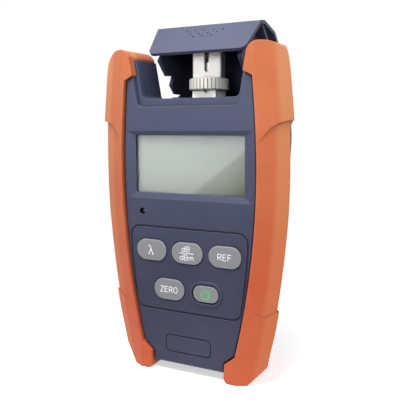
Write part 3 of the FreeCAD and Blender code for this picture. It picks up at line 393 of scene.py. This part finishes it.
def letter(kind, w, h):
    """Strokes of one upright letter in a box w wide and h high, its lower left corner at 0, 0. Straight
    lines join the box's corners and the ends of the bowls, which are arcs; sizes are shares of w and h."""
    if kind == "R":
        r = h * 0.26
        bowl = [(0, h)] + arc(w - r, h - r, r, r, 90, -90) + [(0, h - 2 * r)]
        return [[(0, 0), (0, h)], bowl, [(w * 0.42, h - 2 * r), (w, 0)]]
    if kind == "E":
        return [[(w, h), (0, h), (0, 0), (w, 0)], [(0, h * 0.52), (w * 0.86, h * 0.52)]]
    if kind == "F":
        return [[(w, h), (0, h), (0, 0)], [(0, h * 0.52), (w * 0.84, h * 0.52)]]
    if kind == "Z":
        return [[(0, h), (w, h), (0, 0), (w, 0)]]
    if kind == "O":
        top = arc(w / 2, h - w / 2, w / 2, w / 2, 0, 180)
        low = arc(w / 2, w / 2, w / 2, w / 2, 180, 360)
        return [top + low + [top[0]]]
    if kind == "B":
        r = h * 0.25
        upper = [(0, h)] + arc(w * 0.92 - r, h - r, r, r, 90, -90) + [(0, h - 2 * r)]
        lower = [(0, 2 * r)] + arc(w - r, r, r, r, 90, -90) + [(0, 0)]
        return [[(0, 0), (0, h)], upper, lower]
    if kind == "d":
        bowl = arc(w * 0.5, h * 0.32, w * 0.5, h * 0.32, 0, 360, 20)
        return [[(w, 0), (w, h)], bowl]
    if kind == "m":
        hump = w / 2
        first = [(0, h * 0.5)] + arc(hump / 2, h * 0.48, hump / 2, h * 0.18, 160, 0) + [(hump, 0)]
        second = [(hump, h * 0.5)] + arc(hump * 1.5, h * 0.48, hump / 2, h * 0.18, 160, 0) + [(w, 0)]
        return [[(0, 0), (0, h * 0.66)], first, second]
    raise ValueError("no strokes for " + kind)


def word(text, widths, gap, height, x, z):
    """Strokes of a word: its letters stand side by side with the gap between them, the middle of the whole
    at x and the foot at z."""
    at = x - (sum(widths) + gap * (len(text) - 1)) / 2
    strokes = []
    for sign, width in zip(text, widths):
        strokes += [np.array(stroke) + (at, z) for stroke in letter(sign, width, height)]
        at += width + gap
    return strokes


def key_top(name):
    """Middle of a key's front face."""
    low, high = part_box(name)
    return ((low[0] + high[0]) / 2, low[1], (low[2] + high[2]) / 2)


# Strokes and line widths are in millimetres, the strokes from the middle of the key's front face. A legend's
# row names its key, the body that it rides on and its ink, then its line width and its strokes.
LAMBDA_SIGN = [[(-1.35, 2.0), (-0.75, 1.95), (-0.35, 1.45), (0.85, -1.75), (1.25, -2.05)],
               [(-0.05, 0.55), (-1.2, -2.05)]]
UNITS_SIGN = word("dB", (1.5, 1.55), 0.6, 2.25, -0.4, 0.8)
UNITS_SIGN += [[(-3.4, 0.05), (3.4, 0.05)]]
UNITS_SIGN += word("dBm", (1.5, 1.55, 2.1), 0.65, 2.25, 0.0, -2.9)
REFERENCE_WORD = word("REF", (1.65, 1.5, 1.45), 0.75, 2.55, 0.0, -1.28)
ZERO_WORD = word("ZERO", (1.55, 1.4, 1.6, 1.75), 0.7, 2.5, 0.0, -1.25)
POWER_SIGN = [arc(0.0, -0.3, 1.9, 1.9, 118, 422, 28), [(0.0, 0.1), (0.0, 2.1)]]
LEGENDS = (
    ("legend_wavelength", "key_wavelength", "wavelength_key", legend_white, 0.40, LAMBDA_SIGN),
    ("legend_units", "key_units", "units_key", legend_white, 0.31, UNITS_SIGN),
    ("legend_reference", "key_reference", "reference_key", legend_white, 0.34, REFERENCE_WORD),
    ("legend_zero", "key_zero", "zero_key", legend_white, 0.33, ZERO_WORD),
    ("legend_power", "key_power", "power_key", legend_green, 0.60, POWER_SIGN),
)
for piece_name, key_name, body, material, stroke_width, strokes in LEGENDS:
    legend = stroke_mesh(piece_name, strokes, stroke_width * MM, key_top(key_name), LEGEND_LIFT)
    legend.data.materials.append(material)
    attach(legend, body)

# Behind the keys: a black silicone mat with its domes lies on the green main board, which is etched glass
# fibre under a solder mask.
MAT_BLACK = (0.055, 0.056, 0.060)
MAT_BLACK_LIGHT = (0.08, 0.082, 0.088)
MASK_GREEN = (0.018, 0.110, 0.045)
MASK_GREEN_LIGHT = (0.03, 0.15, 0.07)
mat_silicone = moulded("mat_silicone", MAT_BLACK, MAT_BLACK_LIGHT, grain_scale=1500.0, grain_depth=0.6,
                       roughness=0.6, edge=0.2 * MM)
finish_nodes(mat_silicone, "keypad_mat")
board_mask = moulded("board_mask", MASK_GREEN, MASK_GREEN_LIGHT, grain_scale=900.0, grain_depth=0.5,
                     roughness=0.34, edge=0.1 * MM, scuffs=0.05)
finish_nodes(board_mask, "main_board")

# Steel parts: the case and board screws, the cover's stub pins, and the light detector's can under the port
# with its two legs bent forward to the board. All are turned or drawn and left bright.
STEEL_GREY = (0.56, 0.56, 0.56)
PALER = 1.12


def metal(name, tone, roughness, grain_scale):
    """Bright metal with turned or rolled grain: the moulded material with a metallic shader. Its light
    colour is the tone times PALER, held to 1."""
    light = tuple(min(1.0, value * PALER) for value in tone)
    return moulded(name, tone, light, grain_scale=grain_scale, grain_depth=0.4, roughness=roughness,
                   edge=0.1 * MM, scuffs=0.15, Metallic=1.0)


bright_steel = metal("bright_steel", STEEL_GREY, roughness=0.28, grain_scale=1400.0)
finish_nodes(bright_steel, "detector", "cover_pins", "case_screws", "board_screws")

# Fibre port: off white glass filled plastic base on the recess floor, a fluted nut, and the square adapter
# with its key slot; a zirconia sleeve stands inside.
PORT_WHITE = (0.91, 0.895, 0.85)
PORT_WHITE_LIGHT = (0.94, 0.93, 0.90)
NUT_GREY = (0.54, 0.53, 0.49)
NUT_GREY_LIGHT = (0.60, 0.59, 0.55)
SLEEVE_WHITE = (0.86, 0.85, 0.82)
SLEEVE_WHITE_LIGHT = (0.90, 0.89, 0.86)
port_plastic = moulded("port_plastic", PORT_WHITE, PORT_WHITE_LIGHT, grain_scale=2200.0, grain_depth=0.8,
                       roughness=0.40, edge=0.3 * MM, scuffs=0.08, Specular_IOR_Level=0.5)
finish_nodes(port_plastic, "port_base", "port_adapter")
nut_plastic = moulded("nut_plastic", NUT_GREY, NUT_GREY_LIGHT, grain_scale=1600.0, grain_depth=0.9,
                      roughness=0.36, edge=0.12 * MM, scuffs=0.10)
finish_nodes(nut_plastic, "port_nut")
sleeve_ceramic = moulded("sleeve_ceramic", SLEEVE_WHITE, SLEEVE_WHITE_LIGHT, grain_scale=1200.0,
                         grain_depth=0.1, roughness=0.12, edge=0.1 * MM)
finish_nodes(sleeve_ceramic, "ferrule_sleeve")

# Dust cover: one curved moulding of the case's plastic in a slightly smoother finish, hinged behind the
# port on two stub pins.
COVER_BLUE = (0.034, 0.0365, 0.069)
COVER_BLUE_LIGHT = (0.056, 0.060, 0.104)
# Its ridges carry the case's painted highlight tint.
cover_plastic = moulded("cover_plastic", COVER_BLUE, COVER_BLUE_LIGHT, grain_scale=2600.0, grain_depth=0.8,
                        roughness=0.46, edge=CASE_EDGE_RADIUS, scuffs=0.08, rim_highlight=CASE_RIM_HIGHLIGHT,
                        Specular_IOR_Level=0.25)
finish_nodes(cover_plastic, "dust_cover")

# Battery compartment: two cells in plain dark jackets, held between nickel plated contact plates and the
# bent leaf springs on them.
JACKET_DARK = (0.045, 0.050, 0.060)
JACKET_DARK_LIGHT = (0.07, 0.075, 0.085)
NICKEL = (0.66, 0.66, 0.63)
cell_jacket = moulded("cell_jacket", JACKET_DARK, JACKET_DARK_LIGHT, grain_scale=700.0, grain_depth=0.2,
                      roughness=0.22, edge=0.3 * MM, scuffs=0.05)
finish_nodes(cell_jacket, "battery_cells")
plated_strip = metal("plated_strip", NICKEL, roughness=0.20, grain_scale=1000.0)
finish_nodes(plated_strip, "battery_contacts", "battery_springs")

# Stage: a pale floor that fades softly into a white backdrop. The camera, mirrors and glass see both as
# white, while the object is lit by the lamps and by a weak even sky.
WHITE = (1.0, 1.0, 1.0, 1.0)
FLOOR_SIZE = 3.0
FLOOR_PALE = (0.86, 0.86, 0.86, 1.0)
FLOOR_GLOW = 0.55
FADE_START = 0.035
FADE_END = 0.115
SKY_ON_OBJECT = 0.27


def seen_directly(tree):
    """1 where a ray comes from the camera, a mirror or glass, else 0."""
    path = node(tree, "ShaderNodeLightPath").outputs
    not_through_glass = reckon(tree, "MAXIMUM", path["Is Camera Ray"], path["Is Glossy Ray"])
    return reckon(tree, "MAXIMUM", not_through_glass, path["Is Transmission Ray"])


floor_mesh = bpy.data.meshes.new("floor")
half = FLOOR_SIZE / 2
floor_mesh.from_pydata([(-half, -half, 0), (half, -half, 0), (half, half, 0), (-half, half, 0)], [],
                       [(0, 1, 2, 3)])
floor = bpy.data.objects.new("floor", floor_mesh)
bpy.context.scene.collection.objects.link(floor)
floor_paint, tree = new_tree("floor_paint")
diffuse = node(tree, "ShaderNodeBsdfDiffuse", {"Color": FLOOR_PALE}).outputs[0]
glow = node(tree, "ShaderNodeEmission", {"Color": WHITE, "Strength": FLOOR_GLOW}).outputs[0]
lit = node(tree, "ShaderNodeAddShader", {0: diffuse, 1: glow}).outputs[0]
backdrop = node(tree, "ShaderNodeEmission", {"Color": WHITE, "Strength": 1.0}).outputs[0]
far = node(tree, "ShaderNodeVectorMath", {0: object_point(tree)}, operation="LENGTH")
fade = stretch(tree, far.outputs["Value"], FADE_START, FADE_END)
blend = node(tree, "ShaderNodeMixShader", {0: fade, 1: lit, 2: backdrop}).outputs[0]
pick = node(tree, "ShaderNodeMixShader", {0: seen_directly(tree), 1: diffuse, 2: blend})
node(tree, "ShaderNodeOutputMaterial", {"Surface": pick.outputs[0]})
floor_mesh.materials.append(floor_paint)

world = bpy.data.worlds.new("studio")
world.use_nodes = True
bpy.context.scene.world = world
tree = world.node_tree
tree.nodes.clear()
strength = stretch(tree, seen_directly(tree), 0.0, 1.0, SKY_ON_OBJECT, 1.0)
sky = node(tree, "ShaderNodeBackground", {"Color": WHITE, "Strength": strength})
node(tree, "ShaderNodeOutputWorld", {"Surface": sky.outputs[0]})


def softbox(name, place, target, size, power, spread):
    """A square area lamp at a place, turned to face a target, its light held within an angle in degrees."""
    lamp = bpy.data.lights.new(name, "AREA")
    lamp.energy = power
    lamp.size = size
    lamp.spread = math.radians(spread)
    holder = bpy.data.objects.new(name, lamp)
    holder.location = place
    holder.rotation_euler = (Vector(target) - Vector(place)).to_track_quat("-Z", "Y").to_euler()
    bpy.context.scene.collection.objects.link(holder)


softbox("lamp_front", (0.03, -0.40, 0.21), (0.0, 0.0, 0.170), size=0.16, power=0.075, spread=44.0)
softbox("lamp_above", (-0.02, -0.14, 0.39), (0.0, 0.0, 0.13), size=0.20, power=0.95, spread=120.0)
softbox("lamp_right", (0.50, -0.06, 0.30), (0.0, 0.0, 0.11), size=0.24, power=0.6, spread=120.0)
softbox("lamp_left", (-0.50, -0.26, 0.30), (0.0, 0.0, 0.11), size=0.30, power=0.15, spread=120.0)

# Camera: the photograph's viewing point, to the right, level with the port's foot and looking slightly
# down. It was solved from the object's symmetric outlines. Its distance counts from the front panel's
# plane, which lies just behind the front of the power key's ring.
POWER_RING_PROUD = 0.5 * MM
panel_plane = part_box("front_case")[0][1] + POWER_RING_PROUD
CAMERA_X = 122.184 * MM
CAMERA_BEFORE_PANEL = 221.269 * MM
CAMERA_Z = 109.83 * MM
CAMERA_YAW = 27.638
CAMERA_PITCH = 7.274
CAMERA_ROLL = -0.2824
CAMERA_LENS = 54.0
SENSOR_WIDTH = 36.0
NEAREST = 0.01
yaw, pitch, roll = (math.radians(value) for value in (CAMERA_YAW, CAMERA_PITCH, CAMERA_ROLL))
level_right = Vector((math.cos(yaw), math.sin(yaw), 0.0))
backward = Vector((math.sin(yaw) * math.cos(pitch), -math.cos(yaw) * math.cos(pitch), math.sin(pitch)))
level_up = backward.cross(level_right)
right = math.cos(roll) * level_right + math.sin(roll) * level_up
up = -math.sin(roll) * level_right + math.cos(roll) * level_up
lens = bpy.data.cameras.new("camera")
lens.lens = CAMERA_LENS
lens.sensor_width = SENSOR_WIDTH
lens.clip_start = NEAREST
camera = bpy.data.objects.new("camera", lens)
place = Vector((CAMERA_X, panel_plane - CAMERA_BEFORE_PANEL, CAMERA_Z))
camera.matrix_world = Matrix((
    (right.x, up.x, backward.x, place.x),
    (right.y, up.y, backward.y, place.y),
    (right.z, up.z, backward.z, place.z),
    (0.0, 0.0, 0.0, 1.0),
))
bpy.context.scene.collection.objects.link(camera)
bpy.context.scene.camera = camera
bpy.context.scene.view_settings.view_transform = "Standard"
